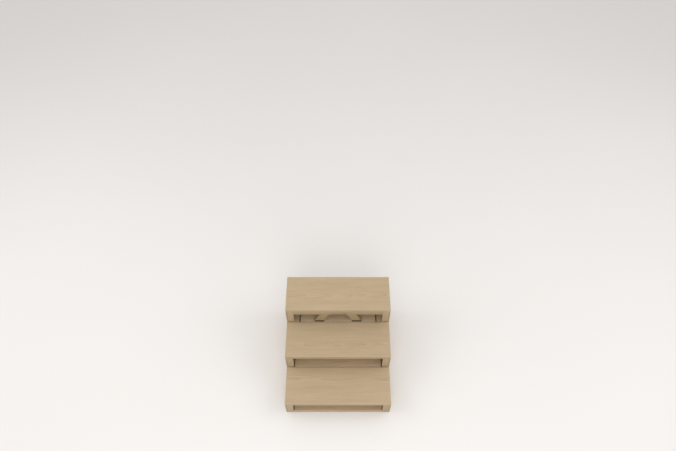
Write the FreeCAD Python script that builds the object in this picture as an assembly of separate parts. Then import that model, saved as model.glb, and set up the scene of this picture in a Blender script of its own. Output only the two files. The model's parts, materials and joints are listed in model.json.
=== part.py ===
import FreeCAD, Part
import os

# Three-tier wooden steps for a hot tub. Millimetres, +Z up, +Y towards the tub.
# The origin is on the floor, at the middle of the footprint.

Vector = FreeCAD.Vector

# Driving dimensions
WIDTH = 700.0  # across the treads and the side boards
GOING = 256.0  # from one tread nose to the next
RISE = 167.0  # from one tread top to the next
TREAD_T = 32.0  # tread and toe board thickness
POST_W = 38.0  # post, seen from the front
POST_D = 89.0  # post, seen from the side
SKIN_T = 12.0  # side and back boards
RISER_T = 18.0
GAP = 3.0  # drainage gap behind the two lower treads
JOINT = 5.0  # gap between a toe board and the posts
END_JOINT = 6.0  # gap between the upper toe board and the short boards at its ends
PAD_T = 3.0  # rubber foot pads

TIERS = ("lower", "middle", "upper")
SIDES = (("left", -1), ("right", 1))

# Worked out from the driving dimensions
DEPTH = GOING * len(TIERS)
FRONT = -DEPTH / 2
BACK = DEPTH / 2
HALF = WIDTH / 2
POST_OUT = HALF - SKIN_T  # outer face of the posts
POST_IN = POST_OUT - POST_W  # inner face of the posts

# Treads and toe boards
NOSE_R = 4.0  # rounding along the upper edge of a nose
EDGE_R = 1.5  # rounding on every other board edge

# Frame
BEARER_W = 36.0
BEARER_H = 50.0
RAIL_H = 60.0
RAIL_D = 38.0
REAR_POST_D = 45.0
PAD_INSET = 8.0
PAD_R = 2.0
FOOT_PAD_R = 4.0

# Boards on the sides and the back
GROOVE = 2.0  # bevel that makes the V-grooves between the boards
BACK_BOARDS = 3

# Fascia and brace under the upper nose
FASCIA_T = 12.0
FASCIA_H = 31.0
HEAD_HALF = 53.0  # front part of the brace head, between the two fascia strips
HEAD_SET = 2.5  # the head stands this far behind the fascia's face
HEAD_REAR_HALF = 122.0
HEAD_REAR_T = 22.0
STRUT_T = 22.0
STRUT_SET = 7.0  # struts behind the post faces
STRUT_TOP = (53.0, 114.0)  # inner and outer edge under the head
STRUT_FOOT = (97.0, 159.0)  # inner and outer edge at the foot
STRUT_PAD_T = 6.0
STRUT_PAD_OVER = 2.0  # the pad stands out beside and behind the foot by this much
STRUT_PAD_FRONT = 6.5  # and in front of it by this much

# Fasteners
SCREW_R = 2.0
SCREW_HEAD_R = 4.2
SCREW_HEAD_T = 2.4
SCREW_LEN = 40.0
SCREW_PITCH = 22.0  # from the middle of a side board to each of its two screws
BACK_PITCH = 55.0  # the same on a back board, clear of the side screws
BRACKET_LEG = 35.0
BRACKET_W = 28.0
BRACKET_T = 2.5
BRACKET_SCREW_R = 2.0
BRACKET_HEAD_R = 4.0
BRACKET_HEAD_T = 1.8
BRACKET_SCREW_LEN = 14.0
BRACKET_SCREW_AT = 22.0  # from the bend to the screw

CLEAR = 1.0  # a cut runs past the faces it opens by this much


def tier_front(tier):
    """Y of the front faces of a tier."""
    return FRONT + GOING * TIERS.index(tier)


def tread_top(tier):
    return RISE * (TIERS.index(tier) + 1)


def tread_under(tier):
    return tread_top(tier) - TREAD_T


def tier_floor(tier):
    """Z of the surface that the front of a tier stands on."""
    return tread_top(tier) - RISE


def box(x0, x1, y0, y1, z0, z1):
    return Part.makeBox(x1 - x0, y1 - y0, z1 - z0, Vector(x0, y0, z0))


def board(x0, x1, y0, y1, z0, z1, radius=EDGE_R):
    """A sawn board with all its edges eased."""
    blank = box(x0, x1, y0, y1, z0, z1)
    return blank.makeFillet(radius, blank.Edges)


def prism(points, y0, y1):
    """An outline in X and Z, drawn out along Y."""
    corners = [Vector(x, y0, z) for x, z in points]
    face = Part.Face(Part.makePolygon(corners + corners[:1]))
    return face.extrude(Vector(0, y1 - y0, 0))


def mirrored(shape, sign):
    """The right-hand shape as it is, or its left-hand twin."""
    if sign > 0:
        return shape
    return shape.mirror(Vector(0, 0, 0), Vector(1, 0, 0))


def edges_where(shape, test):
    return [e for e in shape.Edges if test(e.BoundBox)]


def tread(tier):
    """One wide board with a rounded nose; the lower two stop short of the next tier by the gap."""
    y0 = tier_front(tier)
    y1 = BACK if tier == TIERS[-1] else y0 + GOING - GAP
    top = tread_top(tier)
    blank = box(-HALF, HALF, y0, y1, tread_under(tier), top)
    nose = edges_where(blank, lambda b: b.YMax < y0 + EDGE_R and b.ZMin > top - EDGE_R)
    rounded = blank.makeFillet(NOSE_R, nose)
    sharp = edges_where(rounded, lambda b: b.YMin > y1 - EDGE_R or b.ZMax < tread_under(tier) + EDGE_R)
    return rounded.makeFillet(EDGE_R, sharp)


def toe_board(tier):
    """The floor of a toe space, level with the tread in front of it."""
    y0 = tier_front(tier)
    half = POST_IN - BEARER_W - END_JOINT if tier == "upper" else POST_IN - JOINT
    z1 = tier_floor(tier) if tier != "lower" else PAD_T + TREAD_T
    return board(-half, half, y0, y0 + POST_D, z1 - TREAD_T, z1)


def toe_ends():
    """Two short boards that finish the upper toe space, each on top of a bearer."""
    y0 = tier_front("upper")
    z1 = tier_floor("upper")
    end = board(POST_IN - BEARER_W, POST_IN, y0, y0 + POST_D, z1 - TREAD_T, z1)
    return Part.makeCompound([mirrored(end, sign) for _, sign in SIDES])


def riser(tier):
    """Closes the back of a toe space and carries the tread above it."""
    y0 = tier_front(tier) + POST_D
    z0 = tier_floor(tier) - TREAD_T if tier != "lower" else PAD_T
    return board(-POST_OUT, POST_OUT, y0, y0 + RISER_T, z0, tread_under(tier))


def post(tier):
    y0 = tier_front(tier)
    return board(POST_IN, POST_OUT, y0, y0 + POST_D, PAD_T, tread_under(tier))


def rear_post():
    y1 = BACK - SKIN_T
    return board(POST_IN, POST_OUT, y1 - REAR_POST_D, y1, PAD_T, tread_under("upper"))


def bearer(tier):
    """Runs back from the riser, inside the posts, past the front of the next tier."""
    y0 = tier_front(tier) + POST_D + RISER_T
    y1 = BACK - SKIN_T if tier == TIERS[-1] else y0 + GOING
    z1 = tread_under(tier)
    return board(POST_IN - BEARER_W, POST_IN, y0, y1, z1 - BEARER_H, z1)


def lower_rail(tier):
    """Ties one post to the next along the floor."""
    y0 = tier_front(tier) + POST_D + RISER_T
    y1 = BACK - SKIN_T - REAR_POST_D if tier == TIERS[-1] else tier_front(tier) + GOING
    return board(POST_IN, POST_OUT, y0, y1, PAD_T, PAD_T + RAIL_H)


def cross_rail(tier):
    """Lies under the joint between a toe board and the tread in front of it."""
    middle = tier_front(tier)
    half = POST_IN - BEARER_W
    z1 = tier_floor(tier) - TREAD_T
    return board(-half, half, middle - RAIL_D / 2, middle + RAIL_D / 2, z1 - RAIL_H, z1)


def back_rail(z0, half):
    y1 = BACK - SKIN_T
    return board(-half, half, y1 - RAIL_D, y1, z0, z0 + RAIL_H)


def side_board(number):
    """One horizontal board of the right-hand side, notched round the tread end where it meets one."""
    tier = TIERS[(number - 1) // 2]
    upper_half = number % 2 == 0
    z0 = tier_floor(tier) + (RISE / 2 if upper_half else 0)
    z1 = z0 + RISE / 2
    if number == 1:
        z0 = PAD_T
    if number == 2 * len(TIERS):
        z1 = tread_under("upper")
    y0 = tier_front(tier)
    blank = box(POST_OUT, HALF, y0, BACK, z0, z1)
    along = edges_where(blank, lambda b: b.XMin > HALF - EDGE_R and b.YLength > GOING / 2)
    shaped = blank.makeChamfer(GROOVE, along)
    if upper_half and tier != TIERS[-1]:
        end = y0 + GOING - GAP
        notch = box(POST_OUT - CLEAR, HALF + CLEAR, y0 - CLEAR, end, tread_under(tier), z1 + CLEAR)
        shaped = shaped.cut(notch)
    return shaped


def back_board_height():
    return (tread_under("upper") - PAD_T) / BACK_BOARDS


def back_board(number):
    height = back_board_height()
    z0 = PAD_T + height * (number - 1)
    blank = box(-POST_OUT, POST_OUT, BACK - SKIN_T, BACK, z0, z0 + height)
    along = edges_where(blank, lambda b: b.YMin > BACK - EDGE_R and b.XLength > POST_OUT)
    return blank.makeChamfer(GROOVE, along)


def fascia():
    """The right-hand strip under the upper nose, from the brace head to the post."""
    y0 = tier_front("upper")
    z1 = tread_under("upper")
    return board(HEAD_HALF, POST_IN, y0, y0 + FASCIA_T, z1 - FASCIA_H, z1)


def brace_head():
    """A tee in plan: its stem fills the space between the fascia strips."""
    y0 = tier_front("upper")
    z1 = tread_under("upper")
    z0 = z1 - FASCIA_H
    stem = box(-HEAD_HALF, HEAD_HALF, y0 + HEAD_SET, y0 + FASCIA_T, z0, z1)
    bar = box(-HEAD_REAR_HALF, HEAD_REAR_HALF, y0 + FASCIA_T, y0 + FASCIA_T + HEAD_REAR_T, z0, z1)
    return stem.fuse(bar).removeSplitter()


def strut_foot_z():
    return tier_floor("upper") + STRUT_PAD_T


def brace_strut():
    """The right-hand strut, leaning out from the head to its pad."""
    z0 = strut_foot_z()
    z1 = tread_under("upper") - FASCIA_H
    y0 = tier_front("upper") + STRUT_SET
    outline = [(STRUT_FOOT[0], z0), (STRUT_FOOT[1], z0), (STRUT_TOP[1], z1), (STRUT_TOP[0], z1)]
    # The strut stops under the fascia and the head.
    blank = prism(outline, y0, y0 + STRUT_T)
    return blank.makeFillet(EDGE_R, edges_where(blank, lambda b: b.ZLength > FASCIA_H))


def brace_pads():
    y0 = tier_front("upper") + STRUT_SET - STRUT_PAD_FRONT
    y1 = tier_front("upper") + STRUT_SET + STRUT_T + STRUT_PAD_OVER
    x0 = STRUT_FOOT[0] - STRUT_PAD_OVER
    x1 = STRUT_FOOT[1] + STRUT_PAD_OVER
    z0 = tier_floor("upper")
    pad = board(x0, x1, y0, y1, z0, z0 + STRUT_PAD_T, PAD_R)
    return Part.makeCompound([mirrored(pad, sign) for _, sign in SIDES])


def foot_pads():
    """One rubber pad under each post, set in from its edges."""
    spans = [(tier_front(t), tier_front(t) + POST_D) for t in TIERS]
    spans.append((BACK - SKIN_T - REAR_POST_D, BACK - SKIN_T))
    pads = []
    for y0, y1 in spans:
        pad = box(POST_IN + PAD_INSET, POST_OUT - PAD_INSET, y0 + PAD_INSET, y1 - PAD_INSET, 0, PAD_T)
        upright = edges_where(pad, lambda b: b.ZLength > PAD_T / 2)
        pad = pad.makeFillet(FOOT_PAD_R, upright)
        pads += [mirrored(pad, sign) for _, sign in SIDES]
    return Part.makeCompound(pads)


def post_lines():
    """Y of the middle of each post, front to back."""
    fronts = [tier_front(t) + POST_D / 2 for t in TIERS]
    return fronts + [BACK - SKIN_T - REAR_POST_D / 2]


def side_screw_places():
    """Y and Z of each screw head on a side: two where a board crosses a post."""
    places = []
    board_half = RISE / 4
    for number in range(1, 2 * len(TIERS) + 1):
        tier = TIERS[(number - 1) // 2]
        middle = tier_floor(tier) + board_half * (1 if number % 2 else 3)
        for y in post_lines()[TIERS.index(tier):]:
            under_tread = number % 2 == 0 and y < tier_front(tier) + GOING
            drop = TREAD_T / 2 if under_tread else 0
            pitch = SCREW_PITCH - drop / 2
            places += [(y, middle - drop + side * pitch) for side in (-1, 1)]
    return places


def board_screw(place, inward):
    """A countersunk screw, its head flush with the board."""
    head = Part.makeCone(SCREW_HEAD_R, SCREW_R, SCREW_HEAD_T, place, inward)
    shank = Part.makeCylinder(SCREW_R, SCREW_LEN, place + inward * SCREW_HEAD_T, inward)
    return head.fuse(shank).removeSplitter()


def board_screws():
    """The right-hand screws of the side boards and of the back boards."""
    screws = [board_screw(Vector(HALF, y, z), Vector(-1, 0, 0)) for y, z in side_screw_places()]
    for number in range(1, BACK_BOARDS + 1):
        middle = PAD_T + back_board_height() * (number - 1 / 2)
        for side in (-1, 1):
            place = Vector(POST_IN + POST_W / 2, BACK, middle + side * BACK_PITCH)
            screws.append(board_screw(place, Vector(0, -1, 0)))
    return screws


def bracket_places():
    """Each bracket's corner: the back of a riser meets the inner face of a bearer."""
    places = []
    for tier in TIERS:
        y = tier_front(tier) + POST_D + RISER_T
        z = tread_under(tier) - BEARER_H / 2
        places.append((POST_IN - BEARER_W, y, z))
    return places


def bracket(x, y, z):
    """A right-hand steel angle: one leg on the riser, one on the bearer."""
    z0 = z - BRACKET_W / 2
    z1 = z + BRACKET_W / 2
    on_riser = box(x - BRACKET_LEG, x, y, y + BRACKET_T, z0, z1)
    on_bearer = box(x - BRACKET_T, x, y, y + BRACKET_LEG, z0, z1)
    return on_riser.fuse(on_bearer).removeSplitter()


def bracket_screws(x, y, z):
    """Two pan-head screws for a right-hand bracket."""
    in_riser = (Vector(x - BRACKET_SCREW_AT, y + BRACKET_T, z), Vector(0, -1, 0))
    in_bearer = (Vector(x - BRACKET_T, y + BRACKET_SCREW_AT, z), Vector(1, 0, 0))
    screws = []
    for place, inward in (in_riser, in_bearer):
        head = Part.makeCylinder(BRACKET_HEAD_R, BRACKET_HEAD_T, place - inward * BRACKET_HEAD_T, inward)
        shank = Part.makeCylinder(BRACKET_SCREW_R, BRACKET_SCREW_LEN, place, inward)
        screws.append(head.fuse(shank).removeSplitter())
    return screws


def frame_pieces():
    """The pieces that run right across the steps."""
    pieces = {}
    for tier in TIERS:
        pieces[tier + "_tread"] = tread(tier)
        pieces[tier + "_toe_board"] = toe_board(tier)
        pieces[tier + "_riser"] = riser(tier)
    for tier in TIERS[1:]:
        pieces[tier + "_cross_rail"] = cross_rail(tier)
    top_rail_z = tread_under("upper") - RAIL_H
    pieces["lower_back_rail"] = back_rail(PAD_T, POST_IN)
    pieces["middle_back_rail"] = back_rail((PAD_T + top_rail_z) / 2, POST_IN)
    pieces["upper_back_rail"] = back_rail(top_rail_z, POST_IN - BEARER_W)
    for number in range(1, BACK_BOARDS + 1):
        pieces["back_board_%d" % number] = back_board(number)
    pieces["brace_head"] = brace_head()
    return pieces


def side_pieces():
    """The right-hand pieces that have a left-hand twin."""
    pieces = {"rear_post": rear_post(), "fascia": fascia(), "brace_strut": brace_strut()}
    for tier in TIERS:
        pieces[tier + "_post"] = post(tier)
        pieces[tier + "_bearer"] = bearer(tier)
        pieces[tier + "_rail"] = lower_rail(tier)
    for number in range(1, 2 * len(TIERS) + 1):
        pieces["side_board_%d" % number] = side_board(number)
    return pieces


def near(shape, tool):
    return shape.BoundBox.intersect(tool.BoundBox)


def drilled(shape, tools):
    """The shape with a close hole for each fastener that enters it."""
    hits = [tool for tool in tools if near(shape, tool)]
    return shape.cut(Part.makeCompound(hits)) if hits else shape


def assemble():
    long_screws = board_screws()
    brackets = [bracket(*place) for place in bracket_places()]
    small_screws = [s for place in bracket_places() for s in bracket_screws(*place)]
    brackets = [drilled(b, small_screws) for b in brackets]
    fasteners = long_screws + small_screws
    both = [mirrored(s, sign) for s in fasteners for _, sign in SIDES]

    pieces = {name: drilled(shape, both) for name, shape in frame_pieces().items()}
    for name, shape in side_pieces().items():
        ready = drilled(shape, fasteners)
        for side, sign in SIDES:
            pieces["%s_%s" % (name, side)] = mirrored(ready, sign)
    groups = {"board_screws": long_screws, "corner_brackets": brackets, "bracket_screws": small_screws}
    for name, solids in groups.items():
        pieces[name] = Part.makeCompound([mirrored(s, sign) for s in solids for _, sign in SIDES])
    pieces["upper_toe_ends"] = toe_ends()
    pieces["brace_pads"] = brace_pads()
    pieces["foot_pads"] = foot_pads()
    return pieces


def main():
    os.makedirs("parts", exist_ok=True)
    for name, shape in assemble().items():
        if not shape.isValid():
            raise ValueError(name + " is not a valid shape")
        shape.exportStep("parts/%s.step" % name)
        size = shape.BoundBox
        print("%-24s %2d  %6.1f x %6.1f x %6.1f" % (name, len(shape.Solids), size.XLength,
                                                     size.YLength, size.ZLength))


main()
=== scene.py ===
import json
import math
import random

import bmesh
import bpy
import numpy as np
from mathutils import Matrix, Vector, noise


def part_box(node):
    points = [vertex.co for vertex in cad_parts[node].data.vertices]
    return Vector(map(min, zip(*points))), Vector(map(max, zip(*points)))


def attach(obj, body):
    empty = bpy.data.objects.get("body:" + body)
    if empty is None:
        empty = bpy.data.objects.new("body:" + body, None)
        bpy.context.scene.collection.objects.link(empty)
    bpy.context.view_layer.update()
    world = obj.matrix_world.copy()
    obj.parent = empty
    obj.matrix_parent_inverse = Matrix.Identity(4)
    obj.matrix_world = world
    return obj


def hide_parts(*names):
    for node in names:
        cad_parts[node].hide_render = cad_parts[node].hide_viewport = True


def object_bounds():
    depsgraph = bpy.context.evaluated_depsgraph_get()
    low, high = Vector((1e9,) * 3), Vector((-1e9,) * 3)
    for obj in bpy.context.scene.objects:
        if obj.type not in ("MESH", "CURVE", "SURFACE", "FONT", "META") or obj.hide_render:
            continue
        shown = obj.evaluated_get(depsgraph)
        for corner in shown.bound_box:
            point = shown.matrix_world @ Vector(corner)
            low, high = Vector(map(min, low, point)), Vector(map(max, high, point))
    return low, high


# Hot tub steps: every board is worked up from its CAD node, in metres, with its own grain, eased edges
# and a little unevenness cut into the surface. Nothing stands outside the CAD box.

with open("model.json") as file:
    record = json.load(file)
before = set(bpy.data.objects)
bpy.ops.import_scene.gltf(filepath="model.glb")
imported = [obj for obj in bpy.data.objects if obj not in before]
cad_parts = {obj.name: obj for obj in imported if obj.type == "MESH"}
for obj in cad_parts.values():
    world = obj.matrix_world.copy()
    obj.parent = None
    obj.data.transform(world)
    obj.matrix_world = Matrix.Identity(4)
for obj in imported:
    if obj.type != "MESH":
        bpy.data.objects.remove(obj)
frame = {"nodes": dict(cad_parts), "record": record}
CAD_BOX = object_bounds()
NODES = frame["nodes"]
SLOTS = {part["node"]: part["material_slot"] for part in frame["record"]["subparts"]}

MM = 0.001
SAME_SPOT = 1e-6  # points closer than this are one point
SORT_DECIMALS = 4  # places of a metre that put a node's solids in a steady order
ALONG = {"x": (0, 1, 2), "y": (1, 0, 2), "z": (2, 0, 1)}  # grain axis, face width, thickness

# How a board's surface is cut up and worn
CELL_ALONG = 30 * MM
CELL_ACROSS = 9 * MM
RIM = (2.5 * MM, 6.0 * MM)  # extra cuts beside every edge
WEAR_REACH = 6.0 * MM
FACE_RELIEF = 0.25 * MM
EDGE_RELIEF = 0.45 * MM
SMOOTH_ANGLE = math.radians(32)
WAVE_DENSITY = 9.0  # long waves in a face, per metre
CHIP_DENSITY = 45.0  # short dents along an edge, per metre
RELIEF_SPREAD = 50.0  # each board takes its unevenness from another place in the noise
END_FACING = 0.8  # a face that looks along the grain this squarely is end grain

# How the edges of pads and brackets are broken
FLAT_ANGLE = math.radians(1)  # faces that meet at less than this are joined up
SHARP_ANGLE = math.radians(40)
BRACE_PAD_EASE = 0.5 * MM
FITTING_EASE = 0.4 * MM

# Growth of the wood
PITH_SIDE = 0.3  # how far off a board's middle the pith lies, as a part of its width
PITH_DEEP = (0.05, 0.12)  # how far above or below the board the pith lies
LOG_START = 40.0  # boards are cut from anywhere along a log this long
GRAIN_TILT = 0.035
RING_SPACING = 4.2 * MM
PITH_SWAY = 30 * MM
WAVE_UNIT = math.tau / 20  # a wave texture's rings repeat at this distance over its scale

# Screws, with the radii and head thicknesses that the CAD gives them
SCREW_SIDES = 24
SHANK_R = 2.0 * MM
BOARD_HEAD_T = 2.4 * MM
BRACKET_HEAD_T = 1.8 * MM
TIP_PART = 0.15  # the tip's radius as a part of the shank's
DRIVE_R = 1.45 * MM  # middle radius of the lobed recess in the head
DRIVE_LOBES = 6
DRIVE_LOBE = 0.28 * MM
DRIVE_DEEP = 1.6 * MM
RIM_EASE = 0.25 * MM

# Camera, placed from the perspective of the photo
CAMERA_HEIGHT = 3.854
CAMERA_BACK = 1.234  # in front of the lowest nose
CAMERA_REACH = 100
CAMERA_TILT = math.radians(90 - 53.95)
LENS_MM = 30.05
SENSOR_MM = 36.0

# Floor and light
FLOOR_HALF = 60.0
SKY_LOW = 0.57  # strength at the horizon
SKY_HIGH = 0.75  # strength from SKY_FULL up
SKY_FULL = 0.4  # height on a sphere of radius 1
SKY_COLOUR = (1.0, 0.99, 0.98, 1)
BOX_SIZE = 3.0
BOX_AWAY = 5.0
BOX_RISE = math.radians(45)
BOX_AIM = 0.2  # height of the point that the lamps face
FRONT_WATTS = 60
SIDE_WATTS = 44


# ---------------------------------------------------------------- meshes

def cut_lines(low, high, step):
    """Where to slice a board between low and high: beside both edges, then in even steps."""
    span = high - low
    lines = [low + r for r in RIM if span > 3 * r] + [high - r for r in RIM if span > 3 * r]
    inner = span - 2 * RIM[-1]
    count = int(inner / step)
    if count > 1:
        start = low + RIM[-1]
        lines += [start + inner * i / count for i in range(1, count)]
    return sorted(lines)


def slice_mesh(bm, low, high, grain):
    """Cuts the mesh into a fine grid, keeping its shape."""
    along = ALONG[grain][0]
    for axis in range(3):
        step = CELL_ALONG if axis == along else CELL_ACROSS
        normal = Vector((0, 0, 0))
        normal[axis] = 1
        for place in cut_lines(low[axis], high[axis], step):
            geometry = bm.verts[:] + bm.edges[:] + bm.faces[:]
            spot = normal * place
            bmesh.ops.bisect_plane(bm, geom=geometry, dist=SAME_SPOT, plane_co=spot, plane_no=normal)


def edge_nearness(point, low, high):
    """1 on a board's edge, falling to 0 a few millimetres in."""
    gaps = sorted(min(point[i] - low[i], high[i] - point[i]) for i in range(3))
    return max(0.0, 1.0 - max(gaps[1], 0.0) / WEAR_REACH)


def relief(point, low, high, shift):
    """How deep the surface lies below the sawn face at a point."""
    wave = 0.5 + 0.5 * noise.noise(point * WAVE_DENSITY + shift)
    chip = 0.5 + 0.5 * noise.noise(point * CHIP_DENSITY + shift)
    near = edge_nearness(point, low, high)
    return FACE_RELIEF * wave + EDGE_RELIEF * near * chip * chip


def add_attribute(mesh, name, kind, domain, values):
    """One value, or one vector, for each point or face of a mesh."""
    layer = mesh.attributes.new(name, kind, domain)
    field = "vector" if kind == "FLOAT_VECTOR" else "value"
    layer.data.foreach_set(field, np.asarray(values, np.float32).ravel())


def grain_attributes(mesh, low, high, grain, rng):
    """Writes what the wood reads: its place in the log, edge wear, end grain and the board's tone."""
    along, across, thick = ALONG[grain]
    middle = (low + high) / 2
    pith_side = rng.uniform(-PITH_SIDE, PITH_SIDE) * (high[across] - low[across])
    pith_deep = rng.choice((-1, 1)) * rng.uniform(*PITH_DEEP)
    start = rng.uniform(0, LOG_START)
    tilt = rng.uniform(-GRAIN_TILT, GRAIN_TILT)
    points = np.empty(len(mesh.vertices) * 3, np.float32)
    mesh.vertices.foreach_get("co", points)
    points = points.reshape(-1, 3)
    length = points[:, along] - middle[along]
    log = np.empty_like(points)
    log[:, 0] = length + start
    log[:, 1] = points[:, across] - middle[across] - pith_side
    log[:, 2] = points[:, thick] - middle[thick] - pith_deep + tilt * length
    add_attribute(mesh, "log", "FLOAT_VECTOR", "POINT", log)
    wear = [edge_nearness(v.co, low, high) for v in mesh.vertices]
    add_attribute(mesh, "wear", "FLOAT", "POINT", wear)
    ends = [1.0 if abs(p.normal[along]) > END_FACING else 0.0 for p in mesh.polygons]
    add_attribute(mesh, "end", "FLOAT", "FACE", ends)
    tone = rng.random()
    add_attribute(mesh, "tone", "FLOAT", "POINT", [tone] * len(mesh.vertices))


def smooth(mesh):
    """Smooth shading that breaks at sharp edges."""
    mesh.polygons.foreach_set("use_smooth", [True] * len(mesh.polygons))
    mesh.set_sharp_from_angle(angle=SMOOTH_ANGLE)


def new_piece(name, mesh, material, node):
    """A finished piece that stands for a CAD node and moves with the steps."""
    mesh.materials.clear()
    mesh.materials.append(material)
    piece = bpy.data.objects.new(name, mesh)
    bpy.context.collection.objects.link(piece)
    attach(piece, "root")
    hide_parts(node)
    return piece


def copied(node):
    """A CAD node's mesh, joined up and opened for editing."""
    bm = bmesh.new()
    bm.from_mesh(NODES[node].data)
    bmesh.ops.remove_doubles(bm, verts=bm.verts, dist=SAME_SPOT)
    return bm


def wooden(node, grain, material):
    """A board, post or rail: sliced, worn and given its grain."""
    rng = random.Random(node)
    low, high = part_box(node)
    bm = copied(node)
    slice_mesh(bm, low, high, grain)
    bm.normal_update()
    shift = Vector([rng.uniform(0, RELIEF_SPREAD) for _ in range(3)])
    moves = [v.normal * relief(v.co, low, high, shift) for v in bm.verts]
    for vert, move in zip(bm.verts, moves):
        vert.co -= move
    mesh = bpy.data.meshes.new(node + "_worked")
    bm.to_mesh(mesh)
    bm.free()
    grain_attributes(mesh, low, high, grain, rng)
    smooth(mesh)
    return new_piece(node + "_worked", mesh, material, node)


def eased(node, width, material):
    """A metal or rubber node with its sharp edges broken."""
    bm = copied(node)
    bmesh.ops.dissolve_limit(bm, angle_limit=FLAT_ANGLE, verts=bm.verts, edges=bm.edges)
    mesh = bpy.data.meshes.new(node + "_eased")
    bm.to_mesh(mesh)
    bm.free()
    piece = new_piece(node + "_eased", mesh, material, node)
    bevel = piece.modifiers.new("broken_edges", "BEVEL")
    bevel.width = width
    bevel.segments = 2
    bevel.limit_method = "ANGLE"
    bevel.angle_limit = SHARP_ANGLE
    smooth(mesh)
    return piece


def islands(node):
    """(lowest, highest) corner of each separate solid in a node."""
    bm = copied(node)
    left = set(bm.verts)
    boxes = []
    while left:
        stack = [left.pop()]
        found = list(stack)
        while stack:
            for edge in stack.pop().link_edges:
                fresh = [v for v in edge.verts if v in left]
                left.difference_update(fresh)
                stack += fresh
                found += fresh
        low = Vector([min(v.co[i] for v in found) for i in range(3)])
        high = Vector([max(v.co[i] for v in found) for i in range(3)])
        boxes.append((low, high))
    bm.free()
    return sorted(boxes, key=lambda b: tuple(round(c, SORT_DECIMALS) for c in b[0]))


def screw_pose(low, high):
    """A screw's top, the direction its head faces, its head radius and its length."""
    size = high - low
    axis = max(range(3), key=lambda i: size[i])
    middle = (low + high) / 2
    outward = Vector((0, 0, 0))
    outward[axis] = 1
    # Along Y every head faces the back. Along X side screws face out and bracket screws face in.
    if axis == 0:
        on_side = high.x > CAD_BOX[1].x - MM or low.x < CAD_BOX[0].x + MM
        outward.x = math.copysign(1, middle.x) * (1 if on_side else -1)
    top = middle + outward * size[axis] / 2
    return top, outward, size[(axis + 1) % 3] / 2, size[axis]


def drive_radius(angle):
    """The recess, seen from above."""
    return DRIVE_R + DRIVE_LOBE * math.cos(DRIVE_LOBES * angle)


def turned(bm, top, outward, profile):
    """Adds a closed turned solid: profile is (radius or function of the angle, depth below the top)."""
    turn = outward.to_track_quat("Z", "Y")
    rings = []
    for radius, deep in profile:
        ring = []
        for i in range(SCREW_SIDES):
            angle = math.tau * i / SCREW_SIDES
            r = radius(angle) if callable(radius) else radius
            spot = Vector((r * math.cos(angle), r * math.sin(angle), -deep))
            ring.append(bm.verts.new(top + turn @ spot))
        rings.append(ring)
    for upper, lower in zip(rings, rings[1:]):
        for i in range(SCREW_SIDES):
            j = (i + 1) % SCREW_SIDES
            bm.faces.new((upper[i], upper[j], lower[j], lower[i]))
    bm.faces.new(rings[0])
    bm.faces.new(reversed(rings[-1]))


def screw_profile(head_r, shank_r, head_t, length, dished):
    """From the floor of the recess, over the head and down the shank. A dished head is countersunk."""
    rim = [(head_r - RIM_EASE, 0), (head_r, RIM_EASE)]
    under = [(shank_r, head_t)] if dished else [(head_r, head_t - RIM_EASE), (shank_r, head_t)]
    tip = [(shank_r, length - 2 * shank_r), (shank_r * TIP_PART, length)]
    return [(drive_radius, DRIVE_DEEP), (drive_radius, 0)] + rim + under + tip


def screws(node, shank_r, head_t, dished, material):
    """Every screw of a node, each with a recessed head."""
    bm = bmesh.new()
    for low, high in islands(node):
        top, outward, head_r, length = screw_pose(low, high)
        turned(bm, top, outward, screw_profile(head_r, shank_r, head_t, length, dished))
    bmesh.ops.recalc_face_normals(bm, faces=bm.faces)
    mesh = bpy.data.meshes.new(node + "_turned")
    bm.to_mesh(mesh)
    bm.free()
    smooth(mesh)
    return new_piece(node + "_turned", mesh, material, node)


# ---------------------------------------------------------------- materials

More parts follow.
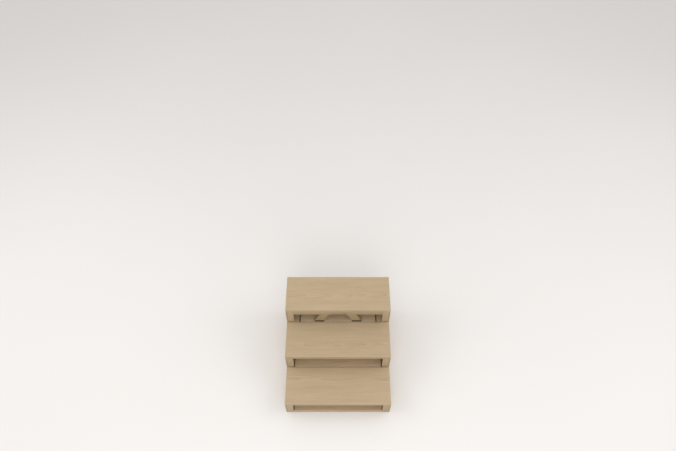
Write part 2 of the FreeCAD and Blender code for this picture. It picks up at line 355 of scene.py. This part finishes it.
class Nodes:
    """Shorthand for building one material's node tree."""

    def __init__(self, name):
        self.material = bpy.data.materials.new(name)
        self.material.use_nodes = True
        self.tree = self.material.node_tree
        self.shader = self.tree.nodes["Principled BSDF"]

    def add(self, kind, **settings):
        node = self.tree.nodes.new(kind)
        for key, value in settings.items():
            setattr(node, key, value)
        return node

    def link(self, source, target):
        self.tree.links.new(source, target)

    def attribute(self, name, output="Fac"):
        return self.add("ShaderNodeAttribute", attribute_name=name).outputs[output]

    def stretched(self, vector, scale):
        mapping = self.add("ShaderNodeMapping")
        mapping.inputs["Scale"].default_value = scale
        self.link(vector, mapping.inputs["Vector"])
        return mapping.outputs["Vector"]

    def noise(self, vector, scale, detail=2.0, rough=0.5):
        node = self.add("ShaderNodeTexNoise")
        node.inputs["Scale"].default_value = scale
        node.inputs["Detail"].default_value = detail
        node.inputs["Roughness"].default_value = rough
        self.link(vector, node.inputs["Vector"])
        return node.outputs["Fac"]

    def math(self, operation, a, b=0.0):
        node = self.add("ShaderNodeMath", operation=operation)
        for socket, value in zip(node.inputs, (a, b)):
            if isinstance(value, (int, float)):
                socket.default_value = value
            else:
                self.link(value, socket)
        return node.outputs[0]

    def ranged(self, value, low, high, out_low, out_high):
        node = self.add("ShaderNodeMapRange")
        self.link(value, node.inputs["Value"])
        limits = {"From Min": low, "From Max": high, "To Min": out_low, "To Max": out_high}
        for key, number in limits.items():
            node.inputs[key].default_value = number
        return node.outputs["Result"]

    def ramp(self, value, stops):
        node = self.add("ShaderNodeValToRGB")
        elements = node.color_ramp.elements
        while len(elements) < len(stops):
            elements.new(0.5)
        for element, (place, colour) in zip(elements, stops):
            element.position = place
            element.color = (*colour, 1)
        self.link(value, node.inputs["Fac"])
        return node.outputs["Color"]

    def scaled(self, colour, factor):
        """A colour times a grey factor."""
        node = self.add("ShaderNodeVectorMath", operation="SCALE")
        self.link(colour, node.inputs[0])
        self.link(factor, node.inputs["Scale"])
        return node.outputs[0]

    def bump(self, height, strength, distance):
        node = self.add("ShaderNodeBump")
        node.inputs["Strength"].default_value = strength
        node.inputs["Distance"].default_value = distance
        self.link(height, node.inputs["Height"])
        return node.outputs["Normal"]

    def finish(self, colour, roughness, normal, metallic=0.0):
        self.link(colour, self.shader.inputs["Base Color"])
        self.link(roughness, self.shader.inputs["Roughness"])
        self.link(normal, self.shader.inputs["Normal"])
        self.shader.inputs["Metallic"].default_value = metallic
        return self.material


def wandering(n, log):
    """The place in the log, with the pith drifting slowly sideways along the board."""
    drift = n.noise(n.stretched(log, (1.3, 4, 4)), 1.5, 2)
    sway = n.math("MULTIPLY", n.math("SUBTRACT", drift, 0.5), PITH_SWAY)
    offset = n.add("ShaderNodeCombineXYZ")
    n.link(sway, offset.inputs["Y"])
    n.link(sway, offset.inputs["Z"])
    shifted = n.add("ShaderNodeVectorMath", operation="ADD")
    n.link(log, shifted.inputs[0])
    n.link(offset.outputs[0], shifted.inputs[1])
    return shifted.outputs[0]


def growth_rings(n, log):
    """Rings round the pith: 0 in the early wood, rising to 1 in the dark late wood."""
    rings = n.add("ShaderNodeTexWave", wave_type="RINGS", rings_direction="X", wave_profile="SAW")
    rings.inputs["Scale"].default_value = WAVE_UNIT / RING_SPACING
    rings.inputs["Distortion"].default_value = 2.2
    rings.inputs["Detail"].default_value = 3
    rings.inputs["Detail Scale"].default_value = 0.35
    n.link(n.stretched(wandering(n, log), (0.05, 1, 1)), rings.inputs["Vector"])
    return rings.outputs["Fac"]


def wood(name, light, dark, figure=1.0):
    """Straight-grained pale wood, read from its place in the log, so faces, edges and ends agree."""
    n = Nodes(name)
    log = n.attribute("log", "Vector")
    ring = growth_rings(n, log)

    # Noise drawn out along the grain, from broad bands down to single fibres and pores.
    band = n.noise(n.stretched(log, (1.5, 22, 22)), 1.0, 2)
    streak = n.noise(n.stretched(log, (5, 120, 120)), 1.0, 3, 0.6)
    fibre = n.noise(n.stretched(log, (14, 900, 900)), 1.0, 2, 0.6)
    pores = n.ranged(n.noise(n.stretched(log, (60, 1600, 1600)), 1.0, 1), 0.64, 0.76, 0, 1)
    dark_line = n.ranged(n.noise(n.stretched(log, (9, 260, 260)), 1.0, 1), 0.66, 0.80, 0, 1)

    mixed = n.math("ADD", n.math("MULTIPLY", streak, 0.55), n.math("MULTIPLY", band, 0.45))
    colour = n.ramp(mixed, [(0.32, dark), (0.68, light)])
    late = n.math("POWER", ring, 3.0)
    # Each of these makes the wood lighter or darker by a few parts in a hundred.
    lifts = [
        n.ranged(late, 0, 1, 1 + 0.02 * figure, 1 - 0.11 * figure),
        n.ranged(fibre, 0.3, 0.7, 0.955, 1.045),
        n.ranged(dark_line, 0, 1, 1.0, 0.91),
        n.ranged(pores, 0, 1, 1.0, 0.80),
        n.ranged(n.attribute("tone"), 0, 1, 0.965, 1.035),
        n.ranged(n.attribute("wear"), 0, 1, 1.0, 1.06),
        n.ranged(n.attribute("end"), 0, 1, 1.0, 0.84),
    ]
    for lift in lifts:
        colour = n.scaled(colour, lift)

    # Pores and end grain are rougher, and the fibres stand a little proud of the pores.
    rough = n.math("ADD", n.ranged(streak, 0.3, 0.7, 0.48, 0.62), n.math("MULTIPLY", pores, 0.18))
    rough = n.math("ADD", rough, n.math("MULTIPLY", n.attribute("end"), 0.15))
    grooves = n.math("SUBTRACT", n.math("SUBTRACT", fibre, n.math("MULTIPLY", late, 0.4)), pores)
    return n.finish(colour, rough, n.bump(grooves, 0.5, 0.3 * MM))


def rubber():
    """Matt brown-black rubber with a fine speckle."""
    n = Nodes("rubber_black")
    place = n.add("ShaderNodeTexCoord").outputs["Object"]
    cloud = n.noise(place, 40, 3)
    speck = n.noise(place, 900, 2)
    colour = n.ramp(cloud, [(0.3, (0.030, 0.024, 0.018)), (0.7, (0.058, 0.047, 0.034))])
    rough = n.ranged(speck, 0.3, 0.7, 0.68, 0.88)
    return n.finish(colour, rough, n.bump(speck, 0.5, 0.3 * MM))


def zinc():
    """Zinc-plated steel with a faint spangle."""
    n = Nodes("zinc_plate")
    place = n.add("ShaderNodeTexCoord").outputs["Object"]
    spangle = n.add("ShaderNodeTexVoronoi")
    spangle.inputs["Scale"].default_value = 260
    n.link(place, spangle.inputs["Vector"])
    haze = n.noise(place, 60, 3)
    colour = n.ramp(haze, [(0.3, (0.50, 0.51, 0.52)), (0.7, (0.66, 0.66, 0.64))])
    rough = n.ranged(spangle.outputs["Distance"], 0, 1, 0.30, 0.52)
    return n.finish(colour, rough, n.bump(haze, 0.3, 0.1 * MM), 1.0)


def stainless():
    """Satin stainless steel with fine scratches."""
    n = Nodes("stainless")
    place = n.add("ShaderNodeTexCoord").outputs["Object"]
    scratch = n.noise(n.stretched(place, (400, 4000, 400)), 1.0, 2)
    haze = n.noise(place, 120, 2)
    colour = n.ramp(haze, [(0.3, (0.50, 0.49, 0.47)), (0.7, (0.66, 0.65, 0.63))])
    rough = n.ranged(scratch, 0.3, 0.7, 0.26, 0.44)
    return n.finish(colour, rough, n.bump(scratch, 0.2, 0.05 * MM), 1.0)


# ---------------------------------------------------------------- the steps

def build_boards():
    """Works up every wooden node with the wood and the grain direction of its slot. The brace and the
    upper toe ends take darker copies of the wood as painted shade, and the lower toe board takes a
    lighter copy as painted light.
    """
    tread_wood = wood("tread_wood", (0.500, 0.382, 0.242), (0.424, 0.315, 0.190))
    side_wood = wood("side_wood", (0.492, 0.374, 0.235), (0.416, 0.309, 0.186), 1.2)
    frame_wood = wood("frame_wood", (0.462, 0.346, 0.214), (0.386, 0.283, 0.169), 1.3)
    # Painted shade: the brace wood is a darker copy of the side wood, standing in for the shade that the
    # top tread's nose casts on the brace head and struts.
    brace_wood = wood("brace_wood", (0.418, 0.318, 0.192), (0.354, 0.262, 0.151), 1.2)
    # Painted light: a lighter copy of the tread wood for the lower toe board, standing in for light
    # bounced off the floor into the bottom recess.
    painted_light_toe_wood = wood("painted_light_toe_wood", (0.545, 0.416, 0.264), (0.462, 0.343, 0.207))
    # Painted shade: a darker copy of the wood for the upper toe ends, standing in for the shade in the
    # corners of the top recess beside the posts.
    painted_shade_end_wood = wood("painted_shade_end_wood", (0.420, 0.316, 0.192), (0.350, 0.258, 0.152), 1.3)
    by_slot = {
        "tread_board": (tread_wood, "x"),
        "toe_board": (tread_wood, "x"),
        "riser_board": (tread_wood, "x"),
        "side_board": (side_wood, "y"),
        "back_board": (side_wood, "x"),
        "post_wood": (side_wood, "z"),
        "brace_wood": (brace_wood, "x"),
        "frame_wood": (frame_wood, "y"),
    }
    by_node = {
        # Painted shade: the upper toe ends take the darker copy of the wood.
        "upper_toe_ends": (painted_shade_end_wood, "x"),
        # Painted light: the lower toe board takes the lighter copy of the tread wood.
        "lower_toe_board": (painted_light_toe_wood, "x"),
        # Painted shade: the brace struts take the darker brace wood for the shade under the top nose.
        "brace_strut_left": (brace_wood, "z"),
        "brace_strut_right": (brace_wood, "z"),
        "middle_cross_rail": (frame_wood, "x"),
        "upper_cross_rail": (frame_wood, "x"),
        "lower_back_rail": (frame_wood, "x"),
        "middle_back_rail": (frame_wood, "x"),
        "upper_back_rail": (frame_wood, "x"),
    }
    for node in sorted(NODES):
        if SLOTS[node] in by_slot:
            wood_and_painted_light, grain = by_node.get(node, by_slot[SLOTS[node]])
            wooden(node, grain, wood_and_painted_light)


def build_fittings():
    """Pads, brackets and screws."""
    pad = rubber()
    plate = zinc()
    steel = stainless()
    eased("brace_pads", BRACE_PAD_EASE, pad)
    eased("foot_pads", FITTING_EASE, pad)
    eased("corner_brackets", FITTING_EASE, plate)
    screws("board_screws", SHANK_R, BOARD_HEAD_T, True, steel)
    screws("bracket_screws", SHANK_R, BRACKET_HEAD_T, False, steel)


# ---------------------------------------------------------------- stage

def build_floor():
    """A pale floor that runs far past what any camera sees."""
    half = FLOOR_HALF
    corners = [(-half, -half, 0), (half, -half, 0), (half, half, 0), (-half, half, 0)]
    mesh = bpy.data.meshes.new("floor")
    mesh.from_pydata(corners, [], [(0, 1, 2, 3)])
    floor = bpy.data.objects.new("floor", mesh)
    bpy.context.collection.objects.link(floor)
    n = Nodes("pale_floor")
    place = n.add("ShaderNodeTexCoord").outputs["Object"]
    cloud = n.noise(place, 0.35, 2)
    colour = n.ramp(cloud, [(0.3, (0.805, 0.782, 0.762)), (0.7, (0.825, 0.803, 0.785))])
    rough = n.ranged(cloud, 0.3, 0.7, 0.85, 0.95)
    mesh.materials.append(n.finish(colour, rough, n.bump(cloud, 0.02, 0.5 * MM)))


def build_world():
    """Even light from a pale room, a little dimmer towards the horizon, where it meets the floor."""
    world = bpy.data.worlds.new("studio")
    world.use_nodes = True
    tree = world.node_tree
    background = tree.nodes["Background"]
    background.inputs["Color"].default_value = SKY_COLOUR
    place = tree.nodes.new("ShaderNodeTexCoord")
    split = tree.nodes.new("ShaderNodeSeparateXYZ")
    height = tree.nodes.new("ShaderNodeMapRange")
    tree.links.new(place.outputs["Generated"], split.inputs["Vector"])
    tree.links.new(split.outputs["Z"], height.inputs["Value"])
    height.inputs["From Max"].default_value = SKY_FULL
    height.inputs["To Min"].default_value = SKY_LOW
    height.inputs["To Max"].default_value = SKY_HIGH
    tree.links.new(height.outputs["Result"], background.inputs["Strength"])
    bpy.context.scene.world = world


def softbox(name, azimuth, energy):
    """A round soft light above and to one side; azimuth 0 is straight in front of the steps."""
    lamp = bpy.data.lights.new(name, "AREA")
    lamp.shape = "DISK"
    lamp.size = BOX_SIZE
    lamp.energy = energy
    box = bpy.data.objects.new(name, lamp)
    level = BOX_AWAY * math.cos(BOX_RISE)
    box.location = (level * math.sin(azimuth), -level * math.cos(azimuth), BOX_AWAY * math.sin(BOX_RISE))
    facing = Vector((0, 0, BOX_AIM)) - box.location
    box.rotation_euler = facing.to_track_quat("-Z", "Y").to_euler()
    bpy.context.collection.objects.link(box)


def build_light():
    """The pale room, and three soft lamps in front and on both sides."""
    build_world()
    softbox("front_softbox", 0, FRONT_WATTS)
    softbox("right_softbox", math.radians(90), SIDE_WATTS)
    softbox("left_softbox", math.radians(-90), SIDE_WATTS)


def build_camera():
    """On the middle line, high in front of the steps and looking down at them."""
    data = bpy.data.cameras.new("camera")
    data.lens = LENS_MM
    data.sensor_width = SENSOR_MM
    data.clip_end = CAMERA_REACH
    camera = bpy.data.objects.new("camera", data)
    low, _ = CAD_BOX
    camera.location = (0, low.y - CAMERA_BACK, CAMERA_HEIGHT)
    camera.rotation_euler = (CAMERA_TILT, 0, 0)
    bpy.context.collection.objects.link(camera)
    bpy.context.scene.camera = camera


bpy.context.scene.view_settings.view_transform = "Standard"
build_boards()
build_fittings()
build_floor()
build_light()
build_camera()
